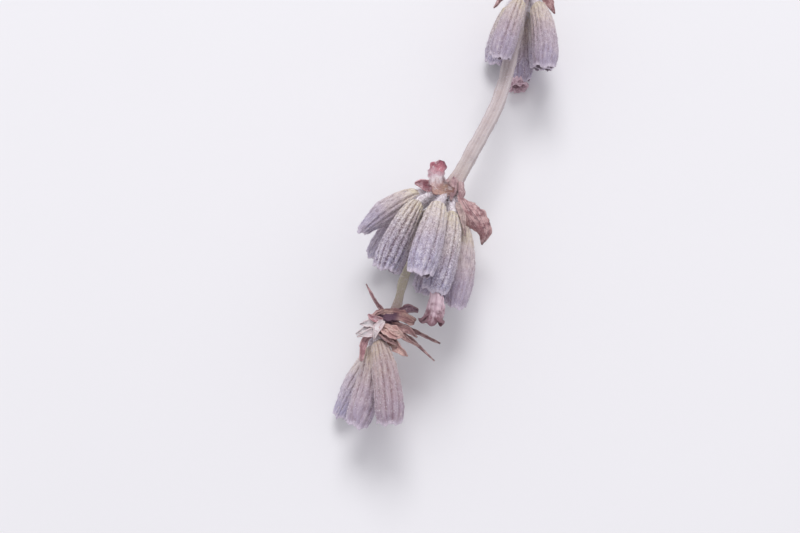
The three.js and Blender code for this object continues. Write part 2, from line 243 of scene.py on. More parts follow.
def spline(through, count):
    """Evenly spaced points on a smooth curve through the given ones."""
    p = np.array(through, float)
    p = np.vstack([2 * p[0] - p[1], p, 2 * p[-1] - p[-2]])
    knots = np.concatenate([[0], np.cumsum(steps_of(p) ** 0.5)])
    stretches = []
    for i in range(1, len(p) - 2):
        t = np.linspace(knots[i], knots[i + 1], 30)[:, None]

        def between(a, b, start, end):
            return ((knots[end] - t) * a + (t - knots[start]) * b) / (knots[end] - knots[start])

        once = [between(p[j], p[j + 1], j, j + 1) for j in (i - 1, i, i + 1)]
        twice = [between(once[j], once[j + 1], i - 1 + j, i + 1 + j) for j in (0, 1)]
        stretches.append(between(*twice, i, i + 1))
    fine = np.vstack(stretches)
    fine = fine[np.concatenate([[True], steps_of(fine) > 1e-9])]
    reach = np.concatenate([[0], np.cumsum(steps_of(fine))])
    places = np.linspace(0, reach[-1], count)
    return np.stack([np.interp(places, reach, fine[:, k]) for k in range(3)], axis=1)


def tangents_of(points):
    return unit(np.gradient(points, axis=0))


def wobble(points, size, seed):
    """A smooth random value from about -1 to 1 at each point, in lumps of the given size."""
    rng = np.random.default_rng(seed)
    total = np.zeros(points.shape[:-1])
    waves = 9
    for _ in range(waves):
        direction = unit(rng.normal(size=3))
        frequency = 2 * math.pi / size * rng.uniform(0.6, 1.7)
        total += np.sin(points @ direction * frequency + rng.uniform(0, 2 * math.pi))
    return total / math.sqrt(waves)


def lumps(points, layers, seed):
    """Smooth unevenness at each point, from layers such as STEM_LUMPS."""
    return sum(height * wobble(points, size, seed + step) for height, size, step in layers)


# Meshes

def loft(rings):
    """A closed surface through rings of equally many points, with a fan over each end."""
    rows, columns = rings.shape[:2]
    points = np.vstack([rings.reshape(-1, 3), rings[0].mean(0), rings[-1].mean(0)])
    start = np.arange(rows - 1)[:, None] * columns
    here = start + np.arange(columns)
    there = start + (np.arange(columns) + 1) % columns
    faces = np.stack([here, there, there + columns, here + columns], -1).reshape(-1, 4).tolist()
    first, last = rows * columns, rows * columns + 1
    end = (rows - 1) * columns
    for k in range(columns):
        after = (k + 1) % columns
        faces.append([first, after, k])
        faces.append([last, end + k, end + after])
    return points, faces


def grid_marks(rings, **marks):
    """Marks of a loft's points, from values over its rows, its columns or both."""
    made = {}
    for mark, values in marks.items():
        grid = np.broadcast_to(values, rings.shape[:2])
        made[mark] = np.concatenate([grid.ravel(), [grid[0].mean(), grid[-1].mean()]])
    return made


def rested(heights):
    """Heights pressed softly against the floor, so that nothing sinks into it."""
    above = (heights - FLOOR_CLEARANCE) / FLOOR_PRESS
    pressed = FLOOR_CLEARANCE + FLOOR_PRESS * np.exp(np.minimum(above, 1) - 1)
    return np.where(above < 1, pressed, heights)


def piece(name, points, faces, material, replaces=(), marks=None, smooth=True):
    mesh = bpy.data.meshes.new(name)
    placed = points - LAYOUT_ORIGIN
    placed[:, 2] = rested(placed[:, 2])
    mesh.from_pydata((placed * MM).tolist(), [], faces)
    mesh.materials.append(material)
    for mark, values in (marks or {}).items():
        layer = mesh.attributes.new(mark, "FLOAT", "POINT")
        layer.data.foreach_set("value", np.asarray(values, np.float32))
    if smooth:
        mesh.shade_smooth()
    else:
        mesh.shade_flat()
    made = bpy.data.objects.new(name, mesh)
    scene.collection.objects.link(made)
    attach(made, "root")
    if replaces:
        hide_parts(*replaces)


def lofted(name, rings, material, slot, replaces, **marks):
    """A piece through rings, with marks given over its rows, its columns or both."""
    points, faces = loft(rings)
    piece(name, points, faces, material, replaces, grid_marks(rings, **marks))


def copies(corners, pattern):
    """The same faces over the corners of each of many equal shapes."""
    count, stride = corners.shape[:2]
    starts = np.arange(count)[:, None, None] * stride
    faces = (starts + np.array(pattern)).reshape(-1, len(pattern[0])).tolist()
    return corners.reshape(-1, 3), faces


def corners_at(centres, radius, first, second, angles):
    """The corners at the given angles round each centre."""
    return [centres + radius * (math.cos(a) * first + math.sin(a) * second) for a in angles]


def hairs(roots, normals, along, kind, rng, scale=1.0):
    """Closed three-sided hairs off a skin, each with a bend. A kind is such as LONG_HAIR."""
    count = len(roots)
    lean, disorder, lengths, radii, droop = kind
    leaning = rng.uniform(*lean, (count, 1)) * along
    directions = unit(normals + leaning + rng.normal(scale=disorder, size=roots.shape))
    lengths = (rng.uniform(*lengths, count) * scale)[:, None]
    radii = rng.uniform(*radii, count)[:, None]
    sideways = unit(rng.normal(size=(count, 3)))
    first, second = across(directions, sideways)
    sag = droop * lengths * sideways
    middle = roots + directions * lengths * 0.55 + sag * 0.25
    thirds = (0, 2 * math.pi / 3, 4 * math.pi / 3)
    corners = corners_at(roots, radii, first, second, thirds)
    corners += corners_at(middle, radii * 0.7, first, second, thirds)
    corners.append(roots + directions * lengths + sag)
    pattern = [[2, 1, 0], [0, 1, 4], [0, 4, 3], [1, 2, 5], [1, 5, 4], [2, 0, 3], [2, 3, 5],
               [3, 4, 6], [4, 5, 6], [5, 3, 6]]
    return copies(np.stack(corners, axis=1), pattern)


def stars(roots, normals, rng):
    """Star-shaped tufts: closed three-sided arms that spread from each root over the skin."""
    first, second = across(normals, unit(rng.normal(size=roots.shape)))
    each = len(roots), 1
    turn = rng.uniform(0, 2 * math.pi, each)
    arms = []
    for k in range(STAR_ARMS):
        angle = turn + 2 * math.pi * (k + rng.uniform(-0.25, 0.25, each)) / STAR_ARMS
        rise = rng.uniform(*STAR_RISE, each)
        direction = unit(np.cos(angle) * first + np.sin(angle) * second + rise * normals)
        length = rng.uniform(*STAR_REACH, each)
        radius = rng.uniform(*STAR_THICKNESS, each)
        foot = corners_at(roots, radius, *across(direction, normals), (0, 2.1, 4.2))
        arms.append(np.stack([*foot, roots + direction * length], axis=1))
    arms = np.concatenate(arms, axis=1).reshape(-1, 4, 3)
    return copies(arms, [[2, 1, 0], [0, 1, 3], [1, 2, 3], [2, 0, 3]])


def beads(centres, radii):
    """Eight-sided grains."""
    corners = np.array([(1, 0, 0), (0, 1, 0), (-1, 0, 0), (0, -1, 0), (0, 0, 1), (0, 0, -1)])
    pattern = [[0, 1, 4], [1, 2, 4], [2, 3, 4], [3, 0, 4],
               [1, 0, 5], [2, 1, 5], [3, 2, 5], [0, 3, 5]]
    return copies(centres[:, None] + radii[:, None, None] * corners, pattern)


def joined(*parts):
    """One set of points and faces from several."""
    faces, start = [], 0
    for points, part_faces in parts:
        faces.extend([corner + start for corner in face] for face in part_faces)
        start += len(points)
    return np.vstack([points for points, _ in parts]), faces


# Materials

def rgb(red, green, blue):
    """A linear colour from the usual 0 to 255 values."""
    values = np.array([red, green, blue]) / 255
    linear = np.where(values <= 0.04045, values / 12.92, ((values + 0.055) / 1.055) ** 2.4)
    return (*linear.tolist(), 1.0)


class Surface:
    """A material whose nodes are added and linked one call at a time."""

    def __init__(self, name, roughness, sheen=0.0, specular=0.3):
        self.material = bpy.data.materials.new(name)
        self.material.use_nodes = True
        self.tree = self.material.node_tree
        self.shader = self.tree.nodes["Principled BSDF"]
        self.shader.inputs["Roughness"].default_value = roughness
        self.shader.inputs["Sheen Weight"].default_value = sheen
        self.shader.inputs["Sheen Roughness"].default_value = 0.5
        self.shader.inputs["Specular IOR Level"].default_value = specular
        self.place = self.node("TexCoord").outputs["Object"]

    def node(self, kind, *values, **named):
        """A new node, with values or links for its first inputs, and for others by name."""
        made = self.tree.nodes.new("ShaderNode" + kind)
        for socket, value in zip(made.inputs, values):
            self.connect(value, socket)
        for name, value in named.items():
            self.connect(value, made.inputs[name])
        return made

    def connect(self, value, socket):
        if isinstance(value, bpy.types.NodeSocket):
            self.tree.links.new(value, socket)
        else:
            socket.default_value = value

    def mark(self, name):
        node = self.node("Attribute")
        node.attribute_name = name
        return node.outputs["Fac"]

    def noise(self, size, detail=3.0, roughness=0.55, vector=None):
        """Noise with lumps of the given size in millimetres, or in the vector's own units."""
        scale = 1 / size if vector else 1 / (size * MM)
        place = vector or self.place
        node = self.node("TexNoise", Vector=place, Scale=scale, Detail=detail, Roughness=roughness)
        return node.outputs["Fac"]

    def vector(self, x, y, z):
        return self.node("CombineXYZ", x, y, z).outputs["Vector"]

    def math(self, operation, a, b=0.0):
        node = self.node("Math", a, b)
        node.operation = operation
        return node.outputs["Value"]

    def times(self, a, b):
        return self.math("MULTIPLY", a, b)

    def plus(self, a, b):
        return self.math("ADD", a, b)

    def uneven(self, value, noise, amount):
        """The value moved up and down by a noise that lies round a half."""
        return self.plus(value, self.times(self.math("SUBTRACT", noise, 0.5), amount))

    def streaks(self, along, side, size, stretch, roughness=0.55):
        """Noise that is drawn out along the piece."""
        place = self.vector(side, self.times(along, stretch), 0.0)
        return self.noise(size, detail=4, roughness=roughness, vector=place)

    def span(self, value, low, high, to_high=1.0, to_low=0.0):
        """The value carried smoothly from one span to another, and held at its ends."""
        node = self.node("MapRange", value, low, high, to_low, to_high)
        node.interpolation_type = "SMOOTHSTEP"
        return node.outputs["Result"]

    def mix(self, share, a, b):
        """From one colour to another. Each is another node's, or 0 to 255 values."""
        node = self.node("Mix", share)
        node.data_type = "RGBA"
        sockets = [s for s in node.inputs if s.type == "RGBA"]
        for colour, socket in zip((a, b), sockets):
            self.connect(rgb(*colour) if isinstance(colour, tuple) else colour, socket)
        return [s for s in node.outputs if s.type == "RGBA"][0]

    def tinted(self, colour, *tints):
        """The colour under tints, each with its share and its own colour."""
        for share, tint in tints:
            colour = self.mix(share, colour, tint)
        return colour

    def ramp(self, value, *stops):
        """A colour by value, between stops that each give a value and 0 to 255 values."""
        node = self.node("ValToRGB", value)
        elements = node.color_ramp.elements
        while len(elements) < len(stops):
            elements.new(0.5)
        for element, (position, *colour) in zip(elements, stops):
            element.position = position
            element.color = rgb(*colour)
        return node.outputs["Color"]

    def finish(self, colour, height=None, relief=0.0):
        """Sets the colour, and a bump of the given depth in millimetres."""
        self.connect(colour, self.shader.inputs["Base Color"])
        if height is not None:
            bump = self.node("Bump", Height=height, Distance=relief * MM)
            self.connect(bump.outputs["Normal"], self.shader.inputs["Normal"])
        return self.material


def calyx_material():
    """Grey-lilac felt over ribs, yellowish at the base, streaked along and speckled. The furrows are
    darker, partly their own tone and partly painted shade; the mouth holds painted shade; the pale specks
    are partly white hairs and partly painted glints.
    """
    s = Surface("calyx_felt", roughness=0.9, sheen=0.2)
    along = s.mark("along")
    coarse = s.times(s.mark("coarse"), s.span(along, 0.1, 0.42, to_low=0.25))
    unrolled = s.vector(s.mark("around_x"), s.mark("around_y"), s.times(along, FELT_STRETCH))
    streak = s.noise(0.12, detail=4, roughness=0.65, vector=unrolled)
    grain = s.noise(0.12, detail=4, roughness=0.7)
    place = s.uneven(along, s.noise(1.0, detail=2), 0.55)
    rib = s.ramp(place, (0.0, 228, 217, 188), (0.26, 222, 209, 202), (0.62, 199, 185, 197),
                 (1.0, 177, 170, 197))
    # The furrow colour comes in where the skin sinks between the ribs: partly the furrows' own darker
    # tone, partly painted shade in them
    furrow = s.ramp(place, (0.0, 168, 148, 120), (0.4, 142, 121, 120), (1.0, 114, 101, 126))
    crest = s.uneven(s.mark("crest"), s.noise(0.3, detail=3), 0.9)
    speckled = s.times(coarse, 0.6)
    colour = s.tinted(
        s.mix(s.span(crest, 0.1, 0.8), furrow, rib),
        (s.span(streak, 0.5, 0.36, 0.6), (146, 126, 136)),
        (s.span(streak, 0.54, 0.66, 0.5), (244, 236, 240)),
        (s.times(s.span(grain, 0.49, 0.4), speckled), (98, 82, 94)),
        # Pale specks: partly white hair tufts, partly painted glints of the glands
        (s.times(s.span(grain, 0.55, 0.64), s.plus(speckled, 0.2)), (248, 243, 247)),
        (s.times(s.mark("warmth"), 0.5), (164, 130, 134)),
        (s.span(along, 0.94, 1.0, 0.7), (232, 220, 234)),
        # Painted shade inside the mouth, by the inside mark
        (s.mark("inside"), (128, 106, 118)))
    return s.finish(colour, s.plus(streak, s.times(grain, coarse)), relief=0.06)


def down_material():
    s = Surface("down", roughness=0.6, sheen=0.6)
    return s.finish(s.mix(s.span(s.noise(0.35), 0.35, 0.65), (206, 196, 207), (240, 234, 242)))


def gland_material():
    """The oil glands between the ribs, which glint."""
    s = Surface("gland", roughness=0.12, specular=0.8)
    return s.finish(s.mix(s.noise(0.3), (224, 208, 208), (240, 234, 240)))


def stem_material():
    """Pale streaked skin, greenish at the tip and darker at the nodes, and the pith of the cut."""
    s = Surface("stem_skin", roughness=0.8, sheen=0.2)
    along = s.mark("along")
    streaks = s.streaks(along, s.mark("around"), 0.12, 0.12)
    grain = s.noise(0.06, detail=3)
    colour = s.tinted(
        s.ramp(along, (0.0, 202, 198, 172), (0.15, 208, 200, 182), (0.24, 214, 202, 202),
               (0.45, 220, 209, 211), (1.0, 216, 206, 198)),
        (s.span(streaks, 0.35, 0.65, 0.5), (160, 138, 136)),
        (s.span(s.noise(1.6, detail=3), 0.5, 0.8, 0.3), (180, 148, 144)),
        (s.mark("node"), (188, 160, 164)),
        (s.span(grain, 0.55, 0.7, 0.3), (240, 232, 234)),
        (s.mark("pith"), (222, 210, 186)))
    return s.finish(colour, s.plus(streaks, grain), relief=0.03)


def stalk_material():
    s = Surface("stalk_wool", roughness=0.85, sheen=0.3)
    colour = s.tinted(
        s.mix(s.span(s.noise(0.16, detail=4), 0.4, 0.65), (248, 242, 246), (206, 190, 198)),
        (s.span(s.mark("along"), 0.35, 0.0), (172, 142, 144)))
    return s.finish(colour, s.noise(0.07, detail=4), relief=0.05)


def leaf_surface(name):
    """A withered leaf's surface, its places along and across, and its veins."""
    s = Surface(name, roughness=0.65, sheen=0.15)
    along = s.mark("along")
    side = s.mark("across")
    return s, along, side, s.streaks(along, side, 0.16, 0.25, roughness=0.6)


def bract_material(name, pale, deep, dark):
    """A withered leaf with burnt veins and patches, pale papery patches that also serve as painted
    highlights, and a pale edge.
    """
    s, _, side, veins = leaf_surface(name)
    patch = s.noise(0.5, detail=4, roughness=0.6)
    blotch = s.noise(0.26, detail=3)
    grain = s.noise(0.07, detail=4)
    edge = s.math("POWER", s.math("ABSOLUTE", side), 6.0)
    colour = s.tinted(
        s.mix(s.span(patch, 0.4, 0.6), pale, deep),
        (s.span(veins, 0.48, 0.64, 0.75), dark),
        (s.span(blotch, 0.58, 0.7, 0.8), dark),
        # Pale blotches: papery patches that also serve as painted highlights
        (s.span(blotch, 0.4, 0.28, 0.55), (236, 214, 214)),
        (s.span(grain, 0.54, 0.7, 0.35), (234, 212, 214)),
        (s.times(edge, 0.35), (222, 182, 178)))
    return s.finish(colour, s.plus(veins, grain), relief=0.06)


def hood_material():
    """The hood over the middle whorl: tan at its base, whitish in its hollow and red at its top, with
    painted shade along one edge.
    """
    s, along, side, veins = leaf_surface("leaf_hood")
    blotch = s.noise(0.3, detail=4)
    place = s.uneven(along, s.noise(0.5, detail=3), 0.35)
    colour = s.tinted(
        s.ramp(place, (0.0, 178, 128, 124), (0.25, 214, 178, 158), (0.42, 206, 166, 160),
               (0.54, 250, 238, 242), (0.66, 238, 206, 216), (0.78, 212, 142, 154),
               (1.0, 186, 112, 128)),
        (s.span(veins, 0.5, 0.64, 0.55), (140, 92, 104)),
        (s.span(blotch, 0.56, 0.66, 0.3), (126, 80, 94)),
        # Pale blotches: papery patches that also serve as painted highlights
        (s.span(blotch, 0.46, 0.34, 0.6), (250, 238, 242)),
        # Painted shade along one edge of the hood
        (s.span(side, 0.45, 0.9, 0.6), (128, 104, 114)))
    return s.finish(colour, s.plus(veins, s.noise(0.07, detail=4)), relief=0.06)


def cup_material():
    """The cupped bract of the tip whorl: a rusty rim, and painted shade over its hollow half that fades
    towards its end.
    """
    s, along, side, veins = leaf_surface("leaf_cup")
    patch = s.noise(0.5, detail=4)
    # Painted shade in the cup's hollow, on one side across, fading towards the end
    hollow = s.span(s.uneven(side, patch, 1.2), *CUP_HOLLOW_SHADE_SPAN)
    fading = s.span(along, *CUP_HOLLOW_SHADE_FADES_AT, to_high=0.1, to_low=1.0)
    colour = s.tinted(
        s.mix(s.span(patch, 0.4, 0.6), (232, 196, 186), (196, 150, 148)),
        (s.span(veins, 0.48, 0.62, 0.75), (112, 76, 82)),
        (s.times(hollow, fading), (112, 84, 102)))
    return s.finish(colour, s.plus(veins, s.noise(0.07, detail=4)), relief=0.06)


def corolla_material():
    """A withered petal, burnt towards its end, with painted shade inside its tube that is stronger on the
    more burnt corolla.
    """
    s = Surface("corolla_skin", roughness=0.75, sheen=0.2)
    along = s.mark("along")
    burnt = s.mark("burnt")
    veins = s.streaks(along, s.mark("across"), 0.2, 0.2)
    withered = s.times(s.plus(s.noise(0.4, detail=4), along), burnt)
    colour = s.tinted(
        s.mix(s.span(veins, 0.42, 0.62), (232, 206, 216), (198, 164, 178)),
        (s.span(withered, 0.95, 1.3, 0.85), (128, 84, 94)),
        # Painted shade inside the tube, by the inside mark, scaled by how burnt the corolla is
        (s.times(s.mark("inside"), s.span(burnt, 0.0, 1.0, to_low=0.2)), (104, 62, 74)))
    return s.finish(colour, s.plus(veins, s.noise(0.08, detail=4)), relief=0.05)


# The stem, and the stalk of each calyx

def whorl_frame(whorl):
    axis = unit(np.array(whorl["axis"], float))
    side = unit(np.cross(UP, axis))
    side = side if side[0] > 0 else -side
    up = np.cross(axis, side)
    up = up if up[2] > 0 else -up
    return np.array(whorl["node"], float), axis, side, up


def place_in(whorl_axes, place):
    node, axis, side, up = whorl_axes
    along, out, turn = place
    angle = math.radians(turn)
    return node + axis * along + out * (math.cos(angle) * side + math.sin(angle) * up)


def near_nodes(points):
    """For each whorl: 1 at its node on the stem, and 0 away from it."""
    nodes = [np.array(whorl["node"]) for whorl in WHORLS.values()]
    distances = [np.linalg.norm(points - node, axis=-1) / NODE_SPREAD for node in nodes]
    return [np.exp(-distance * distance) for distance in distances]


def stem_radius(points):
    upper = smoothstep(points[:, 1], *NECK_SPAN)
    lower = smoothstep(points[:, 1], *CUT_SPAN)
    bare = NECK_RADIUS + (STEM_RADIUS - NECK_RADIUS) * upper + (CUT_RADIUS - STEM_RADIUS) * lower
    return bare * (1 + sum(NODE_SWELLING * near for near in near_nodes(points)))


def stem_skin(rng):
    """Rings of points along the stem, which is four-cornered and finely furrowed."""
    centres = spline(STEM_ROUTE, STEM_ROWS)
    first, second = across(tangents_of(centres), UP)
    angles = ring_angles(STEM_COLUMNS)
    radius = stem_radius(centres)[:, None] * (1 - STEM_CORNER * np.cos(4 * angles))
    drift = 0.6 * np.sin(centres[:, 1:2] * 0.4)
    furrows = STEM_FURROW_DEPTH * np.sin(STEM_FURROWS * angles + drift)
    rings = centres[:, None] + (radius + furrows)[..., None] * round_about(first, second, angles)
    bumps = lumps(rings, STEM_LUMPS, STEM_LUMP_SEED)
    bumps += rng.normal(scale=STEM_GRAIN, size=bumps.shape)
    return rings + unit(rings - centres[:, None]) * bumps[..., None], centres, angles


def make_stem(material, down):
    """The stem, its down, and its cut end, which hollows in the middle."""
    rng = np.random.default_rng(STEM_SEED)
    rings, centres, angles = stem_skin(rng)
    make_stem_down(rings, centres, down, rng)
    end = centres[-1]
    inner = [end + (rings[-1] - end) * share for share in CUT_RINGS]
    inner[-1] = inner[-1] - tangents_of(centres)[-1] * CUT_HOLLOW
    rings = np.concatenate([rings, np.stack(inner)])
    rows = len(rings)
    points, faces = loft(rings)
    pith = np.arange(rows)[:, None] >= rows - len(CUT_RINGS)
    marks = grid_marks(rings, along=np.linspace(0, 1, rows)[:, None], pith=pith,
                       around=np.abs(angles / math.pi - 1))
    marks["node"] = np.max(near_nodes(points), axis=0)
    piece("lavender_stem", points, faces, material, ["stem"], marks)


def make_stem_down(rings, centres, material, rng):
    """Short star-shaped tufts over the whole stem."""
    row = rng.integers(1, len(rings) - 2, STEM_STARS)
    column = rng.integers(0, STEM_COLUMNS, STEM_STARS)
    blend = rng.uniform(0, 1, (STEM_STARS, 1))
    roots = rings[row, column] * blend + rings[row + 1, (column + 1) % STEM_COLUMNS] * (1 - blend)
    normals = unit(roots - centres[row])
    points, faces = stars(roots - 0.004 * normals, normals, rng)
    piece("down_stem", points, faces, material, smooth=False)


def bent_line(start, bend, end, share):
    """The point at a share of a curve that leaves its start towards the bend."""
    return (1 - share) ** 2 * start + 2 * share * (1 - share) * bend + share ** 2 * end


class Calyx:
    """A ribbed tube with its own unevenness, as a skin over (share of its length, angle)."""

    def __init__(self, name, axes, form, seed):
        root, mouth, self.size, self.closing, self.ribs, self.coarse, self.warmth, self.reach = form
        self.name = name
        self.node, axis = axes[:2]
        self.root_along = root[0]
        self.start, self.end = place_in(axes, root), place_in(axes, mouth)
        middle = (self.start + self.end) / 2
        outward = middle - self.node
        self.outward = unit(outward - outward.dot(axis) * axis)
        self.bend = middle + self.outward * 2 * CALYX_BOW
        self.seed = seed
        rng = np.random.default_rng(seed)
        self.rib_height = rng.uniform(*RIB_HEIGHTS, CALYX_RIBS)
        self.sway = rng.uniform(*RIB_SWAY), rng.uniform(*ANY_ANGLE)
        self.oval = rng.uniform(*OVALNESS), rng.uniform(*ANY_ANGLE)
        self.dent = rng.uniform(*DENT_DEPTH), rng.uniform(*ANY_ANGLE), rng.uniform(*DENT_PLACE)
        self.jags = rng.uniform(*ANY_ANGLE, 4)
        self.length = steps_of(self.centre(np.linspace(0, 1, 30))).sum()
        first, second = across(self.tangent(1.0), self.outward)
        self.lip = math.atan2(UP.dot(second), UP.dot(first))

    def near_lip(self, angle):
        """1 on the side of the rim that looks up, where it reaches furthest, and 0 opposite."""
        return 0.5 + 0.5 * np.cos(angle - self.lip)

    def centre(self, share):
        return bent_line(self.start, self.bend, self.end, np.asarray(share)[..., None])

    def tangent(self, share):
        share = np.asarray(share)[..., None]
        return unit((1 - share) * (self.bend - self.start) + share * (self.end - self.bend))

    def furrow(self, share, angle):
        """How deep in the furrow between two ribs: 1 at its bottom, 0 on the ribs."""
        sway = self.sway[0] * np.sin(4 * share + self.sway[1] + 2 * angle)
        wave = 0.5 - 0.5 * np.cos(CALYX_RIBS * angle + sway)
        rib = np.floor(angle * CALYX_RIBS / (2 * math.pi)).astype(int) % CALYX_RIBS
        fading = 1 - 0.45 * smoothstep(share, 0.55, 1.0) * (1 - self.ribs)
        return wave ** FURROW_SHARPNESS * self.rib_height[rib] * fading

    def crest(self, share, angle):
        return 1 - self.furrow(share, angle) * (0.35 + 0.65 * self.ribs)

    def radius(self, share, angle):
        widening = np.sin(math.pi / 2 * np.power(np.clip(share, 0, 1), CALYX_FLARE))
        radius = CALYX_BASE_RADIUS + (CALYX_MOUTH_RADIUS - CALYX_BASE_RADIUS) * widening
        radius = radius * (1 - self.closing * smoothstep(share, CLOSING_STARTS_AT, 1))
        radius = STALK_RADIUS + (self.size * radius - STALK_RADIUS) * smoothstep(share, -0.04, 0.07)
        radius = radius * (1 + self.oval[0] * np.cos(2 * angle + self.oval[1]))
        depth, place, height = self.dent
        round_it = (0.5 + 0.5 * np.cos(angle + place)) ** 3
        radius = radius * (1 - depth * (np.exp(-((share - height) / DENT_SPREAD) ** 2) * round_it))
        lip = self.near_lip(angle)
        curl = RIM_CURL + (LIP_CURL - RIM_CURL) * lip
        curl = curl * smoothstep(share, LIP_STARTS_AT, 1.02) ** 1.5
        relief = FURROW_DEPTH * (0.45 + 0.55 * self.ribs) * smoothstep(share, 0, 0.18)
        return radius * (1 - curl) - relief * self.furrow(share, angle)

    def slide(self, share, angle):
        """How far the rim's lip and teeth reach past the tube's end."""
        a, b, c, d = self.jags
        lip = self.near_lip(angle) ** 1.5
        fine = 0.4 * np.sin(2 * angle + a) + 0.35 * np.cos(CALYX_RIBS * angle + b)
        fine = fine + 0.25 * np.sin(21 * angle + c)
        teeth = TOOTH_HEIGHT * (np.cos(TEETH * angle + d) + fine)
        return (self.reach * lip + teeth) * smoothstep(share, LIP_STARTS_AT, 1.0)

    def skin(self, share, angle, depth=0.0):
        """The point at a share of the length and an angle, at a depth below the skin."""
        share, angle = np.broadcast_arrays(np.asarray(share, float), np.asarray(angle, float))
        held = np.clip(share, 0, 1)
        first, second = across(self.tangent(held), self.outward)
        out = np.cos(angle)[..., None] * first + np.sin(angle)[..., None] * second
        radius = np.maximum(self.radius(share, angle) - depth, 0.01)
        slide = self.slide(share, angle) + (share - held) * self.length
        return self.centre(held) + radius[..., None] * out + slide[..., None] * self.tangent(held)

    def normal(self, share, angle):
        step = 0.01
        ahead = self.skin(share + step, angle) - self.skin(share - step, angle)
        round_it = self.skin(share, angle + step) - self.skin(share, angle - step)
        return unit(np.cross(round_it, ahead))


def all_calyces():
    made = []
    for place, whorl in WHORLS.items():
        axes = whorl_frame(whorl)
        for k, form in enumerate(whorl["calyces"]):
            made.append(Calyx(f"calyx_{place}_{k + 1}", axes, form, CALYX_SEED + len(made)))
    return made


def make_calyx(calyx, material):
    """The felt tube, over its rim and down into its mouth."""
    rng = np.random.default_rng(calyx.seed + CALYX_GRAIN_SEED)
    angles = ring_angles(CALYX_COLUMNS)
    # Each row is its share of the length, its depth below the skin, and how much painted shade it gets
    # inside the mouth
    rows = [(share, 0.0, 0.0) for share in np.linspace(0, 1, CALYX_ROWS) ** 0.95]
    rows += [(1.004, 0.45 * CALYX_WALL, 0.2), (1.0, CALYX_WALL, 0.5)]
    # The painted shade inside the mouth deepens the further in a row lies
    for depth in MOUTH_DEPTHS:
        dark = min(1.0, 0.6 + 0.3 * depth)
        rows.append((1 - depth / calyx.length, CALYX_WALL + 0.03 * depth, dark))
    rings = np.stack([calyx.skin(share, angles, depth) for share, depth, _ in rows])
    share, _, inside = np.array(rows).T[..., None]
    grain = rng.normal(scale=0.004 + 0.006 * calyx.coarse, size=rings.shape[:2])
    bumps = (grain + lumps(rings, CALYX_LUMPS, calyx.seed)) * smoothstep(share, 0, 0.1)
    rings = rings + unit(rings - rings.mean(1, keepdims=True)) * bumps[..., None]
    lofted(calyx.name + "_felt", rings, material, "calyx", [calyx.name], along=share, inside=inside,
           crest=calyx.crest(share, angles), warmth=calyx.warmth, coarse=calyx.coarse,
           around_x=np.cos(angles), around_y=np.sin(angles))


def scatter(calyx, count, rng, on_ribs):
    """Random places on a calyx, most of them on its ribs or most of them in its furrows."""
    share = rng.uniform(0.02, 1.0, count) ** 0.8
    angle = rng.uniform(0, 2 * math.pi, count)
    furrow = np.clip(calyx.furrow(share, angle), 0, 1)
    chance = 1 - 0.75 * furrow if on_ribs else 0.15 + 0.85 * furrow
    keep = rng.uniform(size=count) < chance
    return share[keep], angle[keep]


def make_down(calyx, down, gland):
    """Felt of star-shaped tufts, hairs that lean to the mouth, and glands between the ribs."""
    rng = np.random.default_rng(calyx.seed + DOWN_SEED)
    count = round(STARS * min(1.0, 0.45 + 0.55 * calyx.coarse))
    share, angle = scatter(calyx, count, rng, on_ribs=True)
    tufts = stars(calyx.skin(share, angle, 0.004), calyx.normal(share, angle), rng)
    share, angle = scatter(calyx, LONG_HAIRS, rng, on_ribs=True)
    roots, normals = calyx.skin(share, angle, 0.01), calyx.normal(share, angle)
    points, faces = joined(tufts, hairs(roots, normals, calyx.tangent(share), LONG_HAIR, rng))
    piece(calyx.name.replace("calyx", "down"), points, faces, down, smooth=False)
    share, angle = scatter(calyx, GLANDS * 3, rng, on_ribs=False)
    share, angle = share[:GLANDS], angle[:GLANDS]
    points, faces = beads(calyx.skin(share, angle, -0.01), rng.uniform(*GLAND_RADIUS, len(share)))
    piece(calyx.name.replace("calyx", "glands"), points, faces, gland)


def stalk_rings(calyx):
    start = calyx.tangent(0.0)
    end = calyx.start + start * 0.12
    bend = calyx.start - start * STALK_BEND * calyx.root_along
    share = np.linspace(0, 1, STALK_ROWS)[:, None]
    centres = bent_line(calyx.node, bend, end, share)
    first, second = across(tangents_of(centres), calyx.outward)
    angles = ring_angles(STALK_COLUMNS)
    radius = STALK_GIRTH * (1.0 + 0.12 * np.cos(2 * math.pi * share))
    radius = radius * (1 + 0.08 * np.cos(5 * angles))
    rings = centres[:, None] + radius[..., None] * round_about(first, second, angles)
    return rings + lumps(rings, STALK_LUMPS, calyx.seed)[..., None] * first[:, None]


def make_stalks(calyces, material, down):
    """Woolly stalks from the stem's nodes to the calyces."""
    rng = np.random.default_rng(STALK_SEED)
    tufts = []
    for calyx in calyces:
        rings = stalk_rings(calyx)
        lofted(calyx.name.replace("calyx", "stalk"), rings, material, "stem", [],
               along=np.linspace(0, 1, STALK_ROWS)[:, None])
        centres = rings.mean(1)
        row = rng.integers(4, STALK_ROWS - 1, STALK_HAIRS)
        roots = rings[row, rng.integers(0, STALK_COLUMNS, STALK_HAIRS)]
        normals = unit(roots - centres[row])
        roots = roots - 0.02 * normals
        tufts.append(hairs(roots, normals, tangents_of(centres)[row], STALK_HAIR, rng))
    tufts += [neck_wool(whorl, rng) for whorl in WHORLS.values()]
    points, faces = joined(*tufts)
    piece("down_stalks", points, faces, down, smooth=False)


